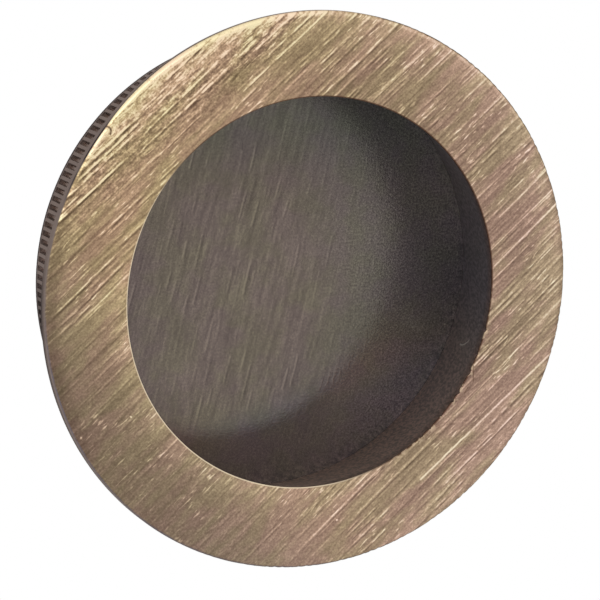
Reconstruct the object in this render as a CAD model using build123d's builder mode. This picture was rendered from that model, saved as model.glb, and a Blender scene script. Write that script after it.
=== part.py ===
from build123d import *
import math
import os

# A recessed finger pull: a round brass cup with a flat flange, pressed into a hole drilled in a door.
# The front faces -Y and the body runs back along +Y.
# The origin is on the axis, at the back of the flange, where it meets the door.

# The drilled hole and how the pull sits in it, in millimetres
hole_diameter = 35.0
flange_overlap = 2.5
flange_thickness = 0.9
overall_depth = 9.8

# The straight ribs that grip the wood
rib_pitch = 0.64
rib_height = 0.35
rib_crest_width = 0.25
rib_flank_angle = 75.0
rib_lap = 0.04
collar_length = 0.45
collar_edge_break = 0.12

# The cup that the fingertip reaches into
wall_at_foot = 1.15
lip_overhang = 2.0
base_thickness = 1.2

# The edges: the front one is rounded, the others are just broken
front_edge_radius = 0.25
back_edge_break = 0.1
mouth_edge_break = 0.12

# Sizes that follow from those above
crest_radius = hole_diameter / 2
root_radius = crest_radius - rib_height
flange_radius = crest_radius + flange_overlap
body_length = overall_depth - flange_thickness
ribbed_length = body_length - collar_length
front_y = -flange_thickness
base_y = body_length - base_thickness
foot_of_wall_radius = root_radius - wall_at_foot
mouth_radius = foot_of_wall_radius - lip_overhang
rib_count = round(math.pi * hole_diameter / rib_pitch)
rib_middle_radius = (crest_radius + root_radius) / 2
rib_blank_height = rib_height + 2 * rib_lap
rib_blank_width = rib_crest_width + 2 * (rib_height + rib_lap) / math.tan(math.radians(rib_flank_angle))

with BuildPart() as finger_pull:
    # The flange, a thin disc that covers the edge of the hole
    with BuildSketch(Plane.XZ):
        Circle(flange_radius)
    extrude(amount=flange_thickness)
    front_rim = finger_pull.faces().sort_by(Axis.Y)[0].edges()
    fillet(front_rim, radius=front_edge_radius)
    back_rim = finger_pull.faces().sort_by(Axis.Y)[-1].edges()
    chamfer(back_rim, length=back_edge_break)

    # The body, with straight ribs all round from the flange back to the collar
    with BuildSketch(Plane.XZ):
        Circle(root_radius)
        with PolarLocations(rib_middle_radius, rib_count):
            Trapezoid(rib_blank_width, rib_blank_height, rib_flank_angle, rotation=-90)
        Circle(crest_radius, mode=Mode.INTERSECT)
    extrude(amount=-ribbed_length)

    # The plain collar at the rear end, which finds the hole before the ribs bite
    with BuildSketch(Plane.XZ.offset(-ribbed_length)):
        Circle(crest_radius)
    extrude(amount=-collar_length)
    rear_rim = finger_pull.faces().sort_by(Axis.Y)[-1].edges()
    chamfer(rear_rim, length=collar_edge_break)

    # The cup, wider at its base than at its mouth, so that its edge is a lip for the fingertip
    with BuildSketch(Plane.XY):
        with BuildLine():
            Polyline(
                (0, front_y),
                (mouth_radius, front_y),
                (foot_of_wall_radius, base_y),
                (0, base_y),
                close=True,
            )
        make_face()
    revolve(axis=Axis.Y, mode=Mode.SUBTRACT)

    # The mouth's edge, broken just enough for a finger
    mouth_edge = finger_pull.faces().sort_by(Axis.Y)[0].edges().sort_by(SortBy.RADIUS)[0]
    chamfer(mouth_edge, length=mouth_edge_break)

finger_pull.part.label = "finger_pull"
os.makedirs("parts", exist_ok=True)
export_step(finger_pull.part, "parts/finger_pull.step")
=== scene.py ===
import bpy
import math
from mathutils import Matrix, Vector


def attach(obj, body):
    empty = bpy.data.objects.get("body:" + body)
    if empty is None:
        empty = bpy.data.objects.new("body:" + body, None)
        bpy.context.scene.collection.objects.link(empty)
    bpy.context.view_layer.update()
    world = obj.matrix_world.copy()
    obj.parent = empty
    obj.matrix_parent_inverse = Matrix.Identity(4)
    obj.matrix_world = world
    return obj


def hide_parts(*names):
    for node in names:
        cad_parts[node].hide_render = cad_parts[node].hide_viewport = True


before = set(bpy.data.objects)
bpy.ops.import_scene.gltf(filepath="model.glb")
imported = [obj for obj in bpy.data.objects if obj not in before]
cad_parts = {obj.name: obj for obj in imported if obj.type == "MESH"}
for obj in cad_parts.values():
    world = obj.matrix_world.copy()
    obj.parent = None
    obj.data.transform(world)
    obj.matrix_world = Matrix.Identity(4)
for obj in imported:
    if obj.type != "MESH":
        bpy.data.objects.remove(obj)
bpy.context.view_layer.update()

# The pull's body
# One piece of brass: a flat flange, a cup whose wall leans outward behind the mouth, and a ribbed body.
# It is turned, its ribs are rolled, and they grip the wall of the hole that it is pressed into.
MM = 0.001

# Sizes are in millimetres. A radius is measured from the pull's axis, and a depth from the flange's back.
flange_radius = 20.0
crest_radius = 17.5
root_radius = 17.15
foot_radius = 16.0
mouth_radius = 14.0
front_y = -0.9
rear_y = 8.9
base_y = 7.7
front_round = 0.25
back_break = 0.1
mouth_break = 0.12
rear_break = 0.12
lip_lean = 0.03
collar_length = 0.45
rib_step = 0.02
rib_depths = (0.0, 0.3, 4.0, rear_y - collar_length - rib_step)
rib_count = 172


def arc(centre, radius, first, last, steps):
    """Points of a round edge, as radius and depth, from one angle to another in degrees."""
    turns = [math.radians(first + (last - first) * i / steps) for i in range(steps + 1)]
    return [(centre[0] + radius * math.cos(t), centre[1] + radius * math.sin(t)) for t in turns]


def stretch(first, last, steps):
    """Points of a straight run, without its first one."""
    return [
        (first[0] + (last[0] - first[0]) * i / steps, first[1] + (last[1] - first[1]) * i / steps)
        for i in range(1, steps + 1)
    ]


# The section runs from the base's middle out to the mouth, over the flange and back to the rear's middle.
base_middle = (0.0, base_y)
base_foot = (foot_radius, base_y)
lip = (mouth_radius + lip_lean, front_y + mouth_break)
lip_break = (mouth_radius + mouth_break * 0.35, front_y + mouth_break * 0.3)
face_inner = (mouth_radius + mouth_break, front_y)
face_middle = (18.25, front_y)
face_outer = (flange_radius - front_round, front_y)
round_centre = (flange_radius - front_round, front_y + front_round)
inside = [base_middle] + stretch(base_middle, base_foot, 6) + stretch(base_foot, lip, 8)
inside += [lip_break, face_inner]
flange = stretch(face_inner, face_middle, 6) + stretch(face_middle, face_outer, 12)
flange += arc(round_centre, front_round, -90, 0, 8)[1:]
flange += [(flange_radius, -back_break), (flange_radius - back_break, 0.0)]
ribbed = [(crest_radius, depth) for depth in rib_depths]
rear = [(crest_radius, rear_y - collar_length), (crest_radius, rear_y - rear_break)]
rear += [(crest_radius - rear_break, rear_y)]
rear += stretch(rear[-1], (0.0, rear_y), 4)
section = inside + flange + ribbed + rear

# The rows of the section that the ribs, the bites in the mouth's edge and the nick change. The nick reaches
# over the face and half-way round its edge.
rib_rows = range(len(inside) + len(flange), len(inside) + len(flange) + len(ribbed))
mouth_rows = range(len(inside) - 3, len(inside))
nick_rows = range(len(inside), len(inside) + 6 + 12 + 4)

# Half the width of a rib at its crest and at its root, as shares of the ribs' pitch. The spokes of the mesh
# lie at both roots, beside the crest's edges, on its middle, and in the middle of the next groove.
crest_share = 0.196
flank_share = 0.349
off_crest = crest_share + 0.01
on_crest = crest_share - 0.03
shares = (-flank_share, -off_crest, -on_crest, 0.0, on_crest, off_crest, flank_share, 0.5)


def rib_rise(share):
    """How far a rib stands out, from 0 at its root to 1 at its crest, over one pitch from -0.5 to 0.5."""
    if abs(share) <= crest_share:
        return 1.0
    return max(0.0, (flank_share - abs(share)) / (flank_share - crest_share))


spokes = [
    ((number + share) / rib_count * math.tau, rib_rise(share))
    for number in range(rib_count)
    for share in shares
]

# Small bites that a tool left in the mouth's edge at its lower right: angle, width and depth.
bites = [
    (307.3, 0.5, 0.1),
    (310.7, 0.5, 0.12),
    (316.0, 0.4, 0.08),
    (321.3, 0.45, 0.15),
    (324.3, 0.6, 0.16),
    (331.0, 0.7, 0.14),
    (337.0, 0.4, 0.08),
    (344.6, 0.6, 0.14),
]


def bite_depth(angle):
    """How far the bites cut into the mouth's edge, in millimetres."""
    degrees = math.degrees(angle) % 360
    return sum(depth * math.exp(-((degrees - middle) / width) ** 2) for middle, width, depth in bites)


# A knock left a curved nick in the flange's rim at its upper left: the right side of a small circle.
nick_x = -15.36
nick_z = 12.46
nick_radius = 0.32
nick_width = 0.08
nick_deepest = 0.05
nick_facing = (0.93, 0.37)


def nick_depth(across, high):
    """How deep the nick is at a place on the flange's face, in millimetres."""
    bulge = (across - nick_x) * nick_facing[0] + (high - nick_z) * nick_facing[1]
    off = (math.hypot(across - nick_x, high - nick_z) - nick_radius) / nick_width
    return nick_deepest * math.exp(-off * off) if bulge > 0.1 else 0.0


# The ends of the brush strokes cut into the rim's front edge on its right.
rim_cut = 0.028


def rim_bite(angle):
    """How far the rim is cut at an angle, in millimetres, by uneven waves that stand in for the strokes."""
    cut = math.sin(83 * angle) * math.sin(131 * angle + 1.0) + 0.6 * math.sin(197 * angle + 2.0)
    on_right = min(1.0, max(0.0, math.cos(angle + 0.35) * 2.0 + 0.5))
    return rim_cut * max(0.0, cut) * on_right


# The middles of the base and the rear come first, then the section's other points at each spoke.
verts = [(0.0, depth * MM, 0.0) for depth in (base_y, rear_y)]
rows = len(section) - 2
for angle, rise in spokes:
    for row, (out, depth) in enumerate(section[1:-1], start=1):
        if out > round_centre[0] and depth < round_centre[1] + 0.01:
            out -= rim_bite(angle)
        if row in rib_rows:
            out = min(out, root_radius + (crest_radius - root_radius) * rise)
        if row in mouth_rows:
            out += bite_depth(angle)
        if row in nick_rows:
            depth += nick_depth(out * math.cos(angle), out * math.sin(angle))
        verts.append((out * math.cos(angle) * MM, depth * MM, out * math.sin(angle) * MM))

faces = []
for turn in range(len(spokes)):
    here = 2 + turn * rows
    there = 2 + (turn + 1) % len(spokes) * rows
    faces.append((0, there, here))
    faces.append((1, here + rows - 1, there + rows - 1))
    for step in range(rows - 1):
        faces.append((here + step, there + step, there + step + 1, here + step + 1))


def build(name, verts, faces):
    """A smooth mesh object in the scene, from points in metres and the faces between them."""
    mesh = bpy.data.meshes.new(name)
    mesh.from_pydata(verts, [], faces)
    mesh.validate()
    for polygon in mesh.polygons:
        polygon.use_smooth = True
    made = bpy.data.objects.new(name, mesh)
    bpy.context.scene.collection.objects.link(made)
    return made


pull = build("finger_pull_body", verts, faces)
pull.data.set_sharp_from_angle(angle=math.radians(25))


class Shade:
    """A value or a colour in a material, so that shader sums read as plain arithmetic."""

    def __init__(self, tree, socket=None):
        self.tree = tree
        self.socket = socket

    def node(self, kind, settings=None, inputs=None, result=0):
        """A new node, with its settings made first and then the values or links of its sockets."""
        made = self.tree.nodes.new(kind)
        for name, value in (settings or {}).items():
            if name == "stops":
                ramp = made.color_ramp
                while len(ramp.elements) < len(value):
                    ramp.elements.new(1.0)
                for element, (place, colour) in zip(ramp.elements, value):
                    element.position = place
                    element.color = colour
            else:
                setattr(made, name, value)
        for name, value in (inputs or {}).items():
            if isinstance(value, Shade):
                self.tree.links.new(value.socket, made.inputs[name])
            else:
                made.inputs[name].default_value = value
        return Shade(self.tree, made.outputs[result] if made.outputs else None)

    def worked(self, operation, first, second=0.0):
        """One or two values worked out by a Math node."""
        return self.node("ShaderNodeMath", {"operation": operation}, {0: first, 1: second})

    def __add__(self, other):
        return self.worked("ADD", self, other)

    def __radd__(self, other):
        return self.worked("ADD", other, self)

    def __sub__(self, other):
        return self.worked("SUBTRACT", self, other)

    def __rsub__(self, other):
        return self.worked("SUBTRACT", other, self)

    def __mul__(self, other):
        return self.worked("MULTIPLY", self, other)

    def __rmul__(self, other):
        return self.worked("MULTIPLY", other, self)

    def __truediv__(self, other):
        return self.worked("DIVIDE", self, other)

    def __pow__(self, other):
        return self.worked("POWER", self, other)

    def __abs__(self):
        return self.worked("ABSOLUTE", self)

    def floor(self):
        return self.worked("FLOOR", self)

    def larger(self, other):
        return self.worked("MAXIMUM", self, other)

    def between(self, low, high):
        """0 below low and 1 above high, with a soft step in between."""
        inputs = {"Value": self, "From Min": low, "From Max": high}
        return self.node("ShaderNodeMapRange", {"interpolation_type": "SMOOTHSTEP"}, inputs)

    def up_to(self, low, high):
        """1 below low and 0 above high, with a soft step in between."""
        return 1 - self.between(low, high)

    def mixed(self, first, second):
        """Two colours mixed by this value."""
        settings = {"data_type": "RGBA"}
        return self.node("ShaderNodeMix", settings, {"Factor": self, 6: first, 7: second}, result=2)

    def tinted(self, tint):
        """This colour multiplied by another one."""
        settings = {"data_type": "RGBA", "blend_type": "MULTIPLY"}
        return self.node("ShaderNodeMix", settings, {"Factor": 1.0, 6: self, 7: tint}, result=2)

    def ramp(self, stops):
        """A colour from a row of stops, each a level and the colour there."""
        return self.node("ShaderNodeValToRGB", {"stops": stops}, {"Fac": self})


def empty_nodes(holder):
    """The cleared nodes of a material or of the world, as a start for its shading."""
    holder.use_nodes = True
    holder.node_tree.nodes.clear()
    return Shade(holder.node_tree)


def place_in(nodes):
    """The three coordinates of a place on the object, in metres."""
    place = nodes.node("ShaderNodeTexCoord", result="Object")
    return [nodes.node("ShaderNodeSeparateXYZ", {}, {"Vector": place}, axis) for axis in "XYZ"]


def srgb(red, green, blue):
    """A colour as seen on screen, from 0 to 255, turned into light."""
    def light(value):
        value = value / 255
        return value / 12.92 if value <= 0.04045 else ((value + 0.055) / 1.055) ** 2.4
    return (light(red), light(green), light(blue), 1.0)


brass = bpy.data.materials.new("brushed_antique_brass")
finish = empty_nodes(brass)
x, y, z = [part / MM for part in place_in(finish)]
radius = (x * x + z * z) ** 0.5


def toward(degrees):
    """How far a place lies out from the axis toward an angle of the face, in millimetres."""
    return x * math.cos(math.radians(degrees)) + z * math.sin(math.radians(degrees))


def cloudy(first, second, third, detail=2.0, roughness=0.5):
    """Cloudy noise from 0 to 1, at a place given by three numbers."""
    place = finish.node("ShaderNodeCombineXYZ", {}, {"X": first, "Y": second, "Z": third})
    inputs = {"Vector": place, "Scale": 1.0, "Detail": detail, "Roughness": roughness}
    return finish.node("ShaderNodeTexNoise", {}, inputs)


# Where each finish lies: the flange's front with its round edge, the cup's base, and the cup's wall.
# At the top the front's finish, with its painted highlight, goes over the rim, down to that depth.
wear_and_highlight_depth = toward(108).between(16.5, 19.8) * 0.35
on_front = (y - wear_and_highlight_depth).up_to(front_y + 0.08, front_y + 0.13)
on_base = y.between(base_y - 0.03, base_y - 0.01) * y.up_to(base_y + 0.3, base_y + 0.5)
on_base = on_base * radius.up_to(foot_radius + 0.05, foot_radius + 0.15)
on_wall = radius.up_to(foot_radius + 0.3, foot_radius + 0.5) * y.up_to(rear_y - 0.3, rear_y - 0.2)

# The flange was brushed in straight strokes after it was darkened: light metal, with a painted highlight,
# shows along each stroke.
brush_angle = 40.05
along = toward(brush_angle)
across = toward(brush_angle + 90) + cloudy(x * 0.05, z * 0.05, 3.0) * 0.6


def strokes(along, across, lane_width, reach, seed, line_width):
    """Straight strokes side by side, each bright where it cut the finish, with a painted highlight, and
    dark along its lower side.
    """
    lane = (across / lane_width).floor()
    lane_place = finish.node("ShaderNodeCombineXYZ", {}, {"X": lane, "Y": seed})
    lane_luck = finish.node("ShaderNodeTexWhiteNoise", {"noise_dimensions": "2D"}, {"Vector": lane_place})
    run = along / reach + lane_luck * 60.0
    number = run.floor()
    place = finish.node("ShaderNodeCombineXYZ", {}, {"X": lane, "Y": number, "Z": seed})
    luck = finish.node("ShaderNodeTexWhiteNoise", {"noise_dimensions": "3D"}, {"Vector": place}, "Color")
    weight, middle, ending = [
        finish.node("ShaderNodeSeparateColor", {}, {"Color": luck}, part)
        for part in ("Red", "Green", "Blue")
    ]
    ending = ending * 0.55 + 0.3
    off = across - (lane + 0.24 + middle * 0.52) * lane_width
    within = run - number
    length = within.between(0.0, 0.1) * within.up_to(ending, ending + 0.14)
    # The bright line is light metal with a painted highlight on it.
    bright = abs(off).up_to(0.0, line_width)
    dark = abs(off + line_width * 1.15).up_to(0.0, line_width)
    return (bright - dark * 0.75) * length * weight ** 2.5


def line_at(first_x, first_z, last_x, last_z, width):
    """1 on a straight mark from one place to another in the face's plane, and 0 elsewhere."""
    long = math.hypot(last_x - first_x, last_z - first_z)
    run_x = (last_x - first_x) / long
    run_z = (last_z - first_z) / long
    far = (x - first_x) * run_x + (z - first_z) * run_z
    off = abs((z - first_z) * run_x - (x - first_x) * run_z)
    fade = 0.06
    in_reach = far.between(-fade, fade) * far.up_to(long - fade, long + fade)
    return off.up_to(width * 0.2, width) * in_reach


broad_strokes = cloudy(along * 0.06, across * 1.1, 1.0, 1.0) - 0.5
fine_strokes = cloudy(along * 0.12, across * 3.5, 7.0, 2.0, 0.6) - 0.5
flecks = cloudy(along * 1.7, across * 4.2, 13.0, 1.0) - 0.5
grain = cloudy(x * 6.5, z * 6.5, 19.0, 2.0, 0.6) - 0.5
rough = toward(126).between(14.0, 18.0)
smooth = toward(228).between(9.5, 16.5)
strength = 0.93 - smooth * 0.7 + rough * 0.35
strength = strength + toward(130).between(-6.0, 12.0) * 0.05 - toward(68).between(13.0, 17.5) * 0.18
broken = cloudy(along, across * 1.7, 15.0, 1.0).between(0.37, 0.55) * 0.72 + 0.32
long_cuts = strokes(along, across, 0.64, 18.0, 50.0, 0.145)
middle_cuts = strokes(along, across, 0.45, 10.0, 61.0, 0.125)
short_cuts = strokes(along, across, 0.35, 4.0, 73.0, 0.11)
cuts = long_cuts * 0.17 + middle_cuts * 0.19 + short_cuts * 0.15
# Short bright glints along the strokes are painted highlights.
painted_glints = cloudy(along * 1.3, across * 6.5, 17.0, 0.0).between(0.62, 0.78)
painted_glints = painted_glints * cloudy(x * 0.3, z * 0.3, 27.0).between(0.42, 0.62)
brushed = broad_strokes * 0.12 + (fine_strokes * 0.27 + cuts * broken) * strength
brushed = brushed + flecks * (rough * 0.34 + 0.13) + grain * (rough * 0.16 + 0.22) + painted_glints * 0.15

# Four long scratches lie across the flange's right and lower right, and three specks on its lower half.
# A row gives a mark's two ends, across and up from the flange's middle, its width and how light it is.
marks = [
    (8.38, -14.48, 19.2, -5.78, 0.13, 0.18),
    (14.21, 0.97, 19.5, 5.42, 0.1, 0.12),
    (13.88, 2.13, 18.9, 6.32, 0.08, 0.12),
    (14.51, 4.49, 18.34, 7.71, 0.1, 0.12),
    (1.7, -16.78, 1.82, -16.7, 0.12, 0.25),
    (-17.55, -8.76, -17.53, -8.6, 0.13, 0.25),
    (-13.92, -7.58, -13.84, -7.5, 0.11, 0.25),
]
for first_x, first_z, last_x, last_z, width, light in marks:
    brushed = brushed + line_at(first_x, first_z, last_x, last_z, width) * light

# Painted light and shade: the flange is lighter near its edge and at its upper left, and darker at its
# lower left.
mean_level = 0.513
rim = radius.between(19.58, 19.76)
painted_edge_light = radius.between(16.6, 20.2) * toward(50).between(-14.0, 6.0)
painted_upper_left_light = toward(123).between(15.6, 19.4)
# A painted highlight lies on the rim's upper left, and painted light on its upper right.
painted_rim_highlight = rim * toward(117).between(15.0, 19.8)
painted_rim_light = rim * toward(56).between(15.8, 19.5)
# Painted light and shade near the mouth: lighter at its lower left, darker at its upper and lower right.
painted_mouth_light_and_shade = toward(215).between(0.0, 14.0) * 0.04
painted_mouth_light_and_shade = painted_mouth_light_and_shade - toward(55).between(9.0, 14.5) * 0.016 - toward(-45).between(10.5, 14.5) * 0.024
painted_mouth_light_and_shade = painted_mouth_light_and_shade * radius.up_to(14.3, 16.0)
painted_inner_light = radius.up_to(16.2, 17.4) * toward(138).between(9.0, 14.0)
painted_bottom_light = toward(288).between(9.0, 17.0)
painted_lower_left_shade = toward(221).between(10.5, 20.5)
painted_left_rim_shade = radius.between(18.5, 19.8) * toward(180).between(15.5, 18.8)
painted_right_rim_shade = radius.between(19.5, 19.8) * toward(-12).between(10.0, 18.0)
painted_right_shade = toward(-30).between(16.5, 19.0)
# The painted light and shade are added to the flange's level here.
brushed = brushed + mean_level + painted_edge_light * 0.06 + painted_upper_left_light * 0.06 + painted_rim_highlight * 0.145 + painted_rim_light * 0.06
brushed = brushed + painted_mouth_light_and_shade + painted_inner_light * 0.02 + painted_bottom_light * 0.02
brushed = brushed - painted_lower_left_shade * 0.085 - painted_left_rim_shade * 0.07 - painted_right_rim_shade * 0.05 - painted_right_shade * 0.02
tone = brushed.ramp([
    (0.34, srgb(104, 84, 67)),
    (0.43, srgb(130, 108, 87)),
    (0.50, srgb(153, 129, 104)),
    (0.56, srgb(178, 152, 123)),
    (0.62, srgb(208, 180, 146)),
    (0.74, srgb(252, 232, 200)),
])

# The brass is greyer at its lower left and colder at its right. Pink and green patches follow the strokes.
plain = (1.0, 1.0, 1.0, 1.0)
tone = tone.tinted(toward(218).between(8.0, 19.0).mixed(plain, (0.99, 1.055, 1.19, 1.0)))
patches = cloudy(along * 0.3, across * 0.8, 23.0, 2.0, 0.6) * 0.5
patches = patches + cloudy(along * 0.12, across * 0.36, 25.0, 1.0) * 0.5
tone = tone.tinted(patches.between(0.4, 0.6).mixed((1.033, 0.966, 1.02, 1.0), (0.98, 1.027, 0.935, 1.0)))
tone = tone.tinted(toward(165).between(-20.0, 17.0).mixed((0.995, 1.0, 1.14, 1.0), (1.0, 1.0, 0.95, 1.0)))

# The base's strokes are finer and steeper, under a grey-brown patina, and fade out toward its shaded side.
base_brush_angle = 74.8
base_along = toward(base_brush_angle)
base_across = toward(base_brush_angle + 90) + cloudy(x * 0.06, z * 0.06, 29.0)
base_hairs = cloudy(base_along * 0.3, base_across * 2.6, 31.0, 2.0, 0.6) - 0.5
base_dashes = strokes(base_along, base_across, 0.6, 3.4, 91.0, 0.14)
base_grain = cloudy(base_along * 2.0, base_across * 4.0, 37.0, 2.0, 0.6) - 0.5
base_dust = cloudy(x * 7.0, z * 7.0, 39.0, 1.0) - 0.5
in_light = (1 - toward(0).between(1.0, 9.0) * 0.75) * (1 - toward(-88).between(9.0, 12.5) * 0.85)
base_level = 0.52
base_fine = (base_hairs * 0.44 + base_dashes * 0.16) * in_light + base_grain * 0.25
base_fine = base_fine + base_dust * (toward(0).between(3.0, 11.0) * 0.55 + 0.36) + base_level

# Painted light and shade on the base toward each side: a direction, where the change begins and is whole,
# and the change.
painted_base_light_and_shade = [
    (112, 0.0, 16.0, -0.06),
    (80, 2.0, 12.0, -0.1),
    (-30, 10.0, 15.5, -0.12),
    (35, 11.0, 16.0, 0.15),
]
for degrees, begins, whole, change in painted_base_light_and_shade:
    base_fine = base_fine + toward(degrees).between(begins, whole) * change
base_mark = line_at(-1.98, 9.24, -1.98, 9.75, 0.08)
base_fine = base_fine - base_mark * 0.3
base_tone = base_fine.ramp([
    (0.30, srgb(90, 81, 76)),
    (0.50, srgb(111, 101, 93)),
    (0.70, srgb(136, 125, 113)),
])
base_clouds = cloudy(x * 0.32, z * 0.32, 41.0, 2.0, 0.6).between(0.35, 0.65)
base_tone = base_tone.tinted(base_clouds.mixed((1.018, 0.976, 1.036, 1.0), (0.992, 1.024, 0.94, 1.0)))

# Painted shade in the base's colour toward each side: a direction, where the tint begins and is whole, and
# the tint.
painted_base_shade_tints = [
    (8, 1.0, 11.0, (0.84, 0.91, 0.97, 1.0)),
    (-52, 3.0, 13.0, (0.82, 0.87, 0.91, 1.0)),
    (180, 5.0, 12.0, (0.91, 0.9, 0.94, 1.0)),
    (85, 6.0, 12.0, (0.9, 1.01, 1.01, 1.0)),
    (-75, 8.5, 12.0, (0.82, 0.92, 1.12, 1.0)),
]
for degrees, begins, whole, tint in painted_base_shade_tints:
    base_tone = base_tone.tinted(toward(degrees).between(begins, whole).mixed(plain, tint))

# The wall keeps the dark patina, with painted light toward its bottom, browner behind the lip, and fine
# dust on it.
wall_tone = toward(280).between(3.0, 15.0).mixed(srgb(161, 157, 166), srgb(208, 184, 170))
lip_shade = y.up_to(front_y + 0.3, front_y + 1.6)
wall_tone = (lip_shade * 0.6).mixed(wall_tone, srgb(144, 118, 110))
dust = cloudy(x * 4.5, z * 4.5, y * 1.8, 1.0, 0.6).between(0.28, 0.72)
wall_tone = wall_tone.tinted(dust.mixed((0.68, 0.7, 0.72, 1.0), (1.36, 1.34, 1.32, 1.0)))

# A thin light scratch like a hair curves forward over the wall at its right.
hair_y = 4.06
hair_z = -5.83
hair_length = 2.0
hair_run = hair_y - y
hair = abs(z - hair_z - hair_run * hair_run * 0.19).up_to(0.03, 0.095) * x.between(10.0, 11.0)
hair = hair * hair_run.between(-0.15, 0.1) * hair_run.up_to(hair_length - 0.15, hair_length + 0.1)
wall_tone = hair.mixed(wall_tone, srgb(254, 250, 244))

# The outside keeps the patina too. Painted light makes it lighter in the ribs' grooves than on their crests
# and the rear.
on_rear = y.between(rear_y - 0.03, rear_y - 0.01)
crest = radius.between(root_radius + 0.1, crest_radius - 0.05).larger(on_rear)
wear = cloudy(x * 1.1, z * 1.1, y * 1.1, 3.0, 0.6)
painted_light_groove_tone = toward(148).between(14.8, 16.8).mixed(srgb(190, 174, 168), srgb(156, 139, 130))
outside_tone = (crest * 0.75 + wear * 0.4 - 0.15).mixed(painted_light_groove_tone, srgb(119, 107, 103))

# Dark marks lie in three places: a dark line behind the flange's front edge, broken where strokes end,
# painted shade on the lower left of the flange's side and of the ribs, and a dark band on the collar.
stroke_ends = cloudy(along * 0.3, across * 1.8, 33.0, 1.0).between(0.36, 0.6)
behind_wear_and_highlight = y - wear_and_highlight_depth
dark_lines_and_painted_shade = behind_wear_and_highlight.between(front_y + 0.06, front_y + 0.1)
dark_lines_and_painted_shade = dark_lines_and_painted_shade * behind_wear_and_highlight.up_to(front_y + 0.25, front_y + 0.3)
dark_lines_and_painted_shade = dark_lines_and_painted_shade * radius.between(18.0, 18.5) * (stroke_ends * 0.7 + 0.4)
dark_lines_and_painted_shade = dark_lines_and_painted_shade * (1 - toward(92).between(12.0, 18.0) * 0.45)
dark_lines_and_painted_shade = dark_lines_and_painted_shade * toward(175).up_to(18.3, 19.3) * toward(222).up_to(12.0, 17.5)
# Painted shade on the lower left of the flange's side and of the ribs.
painted_shade_low_left = toward(215).between(12.5, 16.5) * y.between(front_y + 0.2, front_y + 0.28)
painted_shade_low_left = painted_shade_low_left * y.up_to(rear_y - 0.1, rear_y - 0.02) * (y.between(-0.45, -0.3) * 0.5 + 0.35)
on_collar = y.between(rear_y - 0.4, rear_y - 0.3) * radius.between(17.3, 17.4)
dark_lines_and_painted_shade = dark_lines_and_painted_shade.larger(painted_shade_low_left).larger(on_collar)
outside_tone = dark_lines_and_painted_shade.mixed(outside_tone, srgb(50, 44, 48))

# The rim's round edge has a painted dark reflection away from its upper left, where the painted highlight
# lies, with a warmer tone at its right.
painted_edge_reflection = y.between(front_y + 0.02, front_y + 0.06) * radius.between(18.0, 18.5)
painted_edge_reflection = painted_edge_reflection * toward(128).up_to(8.0, 17.0) * (stroke_ends * 0.35 + 0.42)
edge_tone = toward(20).between(-12.0, 12.0).mixed(srgb(108, 104, 117), srgb(96, 76, 30))

# The mouth's broken edge has a painted highlight at its lower left and a painted dark reflection elsewhere,
# with two burrs and light chips at its lower right. The nick in the rim is dark.
on_lip = radius.up_to(mouth_radius + 0.1, mouth_radius + 0.13) * y.up_to(front_y + 0.1, front_y + 0.16)
painted_lip_reflection = toward(213).between(1.0, 9.0).mixed(srgb(84, 58, 46), srgb(236, 218, 188))
chips = cloudy(x * 2.2, z * 2.2, 5.0, 1.0).between(0.5, 0.62) * radius.up_to(14.2, 14.5)
chips = chips * toward(-36).between(11.0, 13.5)
burrs = line_at(12.62, -6.3, 12.62, -7.5, 0.08) + line_at(11.9, -8.3, 12.2, -7.9, 0.06)
nick_far = ((x - nick_x) * (x - nick_x) + (z - nick_z) * (z - nick_z)) ** 0.5
nick_bulge = (x - nick_x) * nick_facing[0] + (z - nick_z) * nick_facing[1]
nick = abs(nick_far - nick_radius).up_to(0.03, 0.09) * nick_bulge.between(0.08, 0.16)

# The finishes laid over each other.
colour = on_wall.mixed(outside_tone, wall_tone)
colour = on_base.mixed(colour, base_tone)
front_tone = painted_edge_reflection.mixed(tone, edge_tone)
front_tone = (on_lip * 0.85).mixed(front_tone, painted_lip_reflection)
front_tone = (chips * 0.55).mixed(front_tone, srgb(214, 190, 160))
front_tone = (burrs * 0.6 + nick * 0.85).mixed(front_tone, srgb(92, 66, 50))
colour = on_front.mixed(colour, front_tone)
base_gloss = toward(-68).between(5.0, 11.0) * 0.085 + 0.14
height = on_front * brushed + on_base * (base_fine - 0.5) * 0.7
bump = finish.node("ShaderNodeBump", {}, {"Strength": 0.35, "Distance": 0.00005, "Height": height})
surface = finish.node(
    "ShaderNodeBsdfPrincipled",
    {},
    {
        "Base Color": colour,
        "Metallic": on_front * 0.1 + 0.85,
        "Roughness": 0.45 - on_front * 0.07 - on_base * base_gloss - on_wall * 0.05,
        "Specular Tint": (0.55, 0.5, 0.46, 1.0),
        "Normal": bump,
    },
)
finish.node("ShaderNodeOutputMaterial", {}, {"Surface": surface})
pull.data.materials.append(brass)
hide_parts("finger_pull")
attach(pull, "root")

# The floor
# A sheet of white paper, laid flat below the pull and turned up behind it in a wide bend, in metres.
# It is white to the camera, but it keeps a part of its own shading below the pull, where the shadow falls.
floor_z = -0.12
floor_reach = 2.0
bend_start = 1.0
bend_radius = 0.4
backdrop_height = 2.0
bend_turns = [math.radians(degrees) for degrees in range(10, 91, 10)]
floor_line = [(-floor_reach, floor_z), (bend_start, floor_z)]
floor_line += [
    (bend_start + bend_radius * math.sin(turn), floor_z + bend_radius * (1 - math.cos(turn)))
    for turn in bend_turns
]
floor_line += [(bend_start + bend_radius, floor_z + backdrop_height)]
floor_verts = [(side * floor_reach, far, high) for far, high in floor_line for side in (-1, 1)]
floor_faces = [(2 * i, 2 * i + 1, 2 * i + 3, 2 * i + 2) for i in range(len(floor_line) - 1)]
floor = build("floor", floor_verts, floor_faces)


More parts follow.
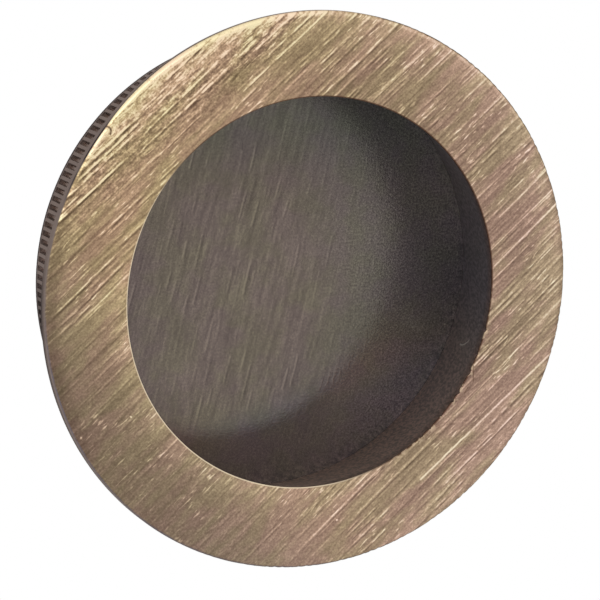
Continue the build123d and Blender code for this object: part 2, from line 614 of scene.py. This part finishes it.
def seen_directly(nodes):
    """1 for what the camera sees, itself or in metal or glass, and 0 for light that falls on the pull."""
    camera_ray = nodes.node("ShaderNodeLightPath", result="Is Camera Ray")
    glossy_ray = nodes.node("ShaderNodeLightPath", result="Is Glossy Ray")
    through_ray = nodes.node("ShaderNodeLightPath", result="Is Transmission Ray")
    return camera_ray.larger(glossy_ray).larger(through_ray)


paper = bpy.data.materials.new("white_paper")
sheet = empty_nodes(paper)
sheet_x, sheet_y = place_in(sheet)[:2]
away = (sheet_x * sheet_x + sheet_y * sheet_y) ** 0.5
share = seen_directly(sheet) * (away.between(0.03, 0.2) * 0.4 + 0.6)
matt = sheet.node("ShaderNodeBsdfDiffuse", {}, {"Color": srgb(240, 240, 240)})
white = sheet.node("ShaderNodeEmission", {}, {"Color": plain, "Strength": 1.0})
lit = sheet.node("ShaderNodeMixShader", {}, {0: share, 1: matt, 2: white})
sheet.node("ShaderNodeOutputMaterial", {}, {"Surface": lit})
floor.data.materials.append(paper)

# The air
# The open room round the pull, which gives it soft light from all sides.
# It is white to the camera and in the metal's gloss, and half as strong as a light on the pull.
world = bpy.data.worlds.new("studio_air")
bpy.context.scene.world = world
air = empty_nodes(world)
soft_air = air.node("ShaderNodeBackground", {}, {"Color": plain, "Strength": 0.5})
white_air = air.node("ShaderNodeBackground", {}, {"Color": plain, "Strength": 1.0})
lit = air.node("ShaderNodeMixShader", {}, {0: seen_directly(air), 1: soft_air, 2: white_air})
air.node("ShaderNodeOutputWorld", {}, {"Surface": lit})

# The lamp
# One square soft box in front of the pull, high on its left, that faces the pull's middle.
# It is dim enough for the brass to show its colours about as they are written.
lamp_place = Vector((-0.3, -0.43, 0.3))
lamp_width = 0.45
lamp_power = 0.6
key_light = bpy.data.lights.new("key_lamp", "AREA")
key_light.shape = "SQUARE"
key_light.size = lamp_width
key_light.energy = lamp_power
key_lamp = bpy.data.objects.new("key_lamp", key_light)
bpy.context.scene.collection.objects.link(key_lamp)
key_lamp.location = lamp_place
key_lamp.rotation_mode = "QUATERNION"
key_lamp.rotation_quaternion = (-lamp_place).to_track_quat("-Z", "Y")

# The camera
# It stands a little above the pull and to its left, far back behind a long lens.
# Its place is worked out from where the flange lies in the photograph.
azimuth = math.radians(-23.25)
elevation = math.radians(11.6)
camera_distance = 9.719 * flange_radius * MM
aside = 0.05246 * flange_radius * MM
upward = 0.01985 * flange_radius * MM
level = math.cos(elevation)
back = Vector((math.sin(azimuth) * level, -math.cos(azimuth) * level, math.sin(elevation)))
right = Vector((math.cos(azimuth), math.sin(azimuth), 0.0))
up = back.cross(right)
face_centre = Vector((0.0, front_y * MM, 0.0))
camera_data = bpy.data.cameras.new("camera")
camera_data.lens = 165.1
camera_data.sensor_width = 36.0
camera_data.clip_start = 0.01
camera_data.clip_end = 20.0
camera = bpy.data.objects.new("camera", camera_data)
bpy.context.scene.collection.objects.link(camera)
camera.location = face_centre - right * aside - up * upward + back * camera_distance
camera.rotation_mode = "QUATERNION"
camera.rotation_quaternion = Matrix((right, up, back)).transposed().to_quaternion()
bpy.context.scene.camera = camera
bpy.context.scene.view_settings.view_transform = "Standard"
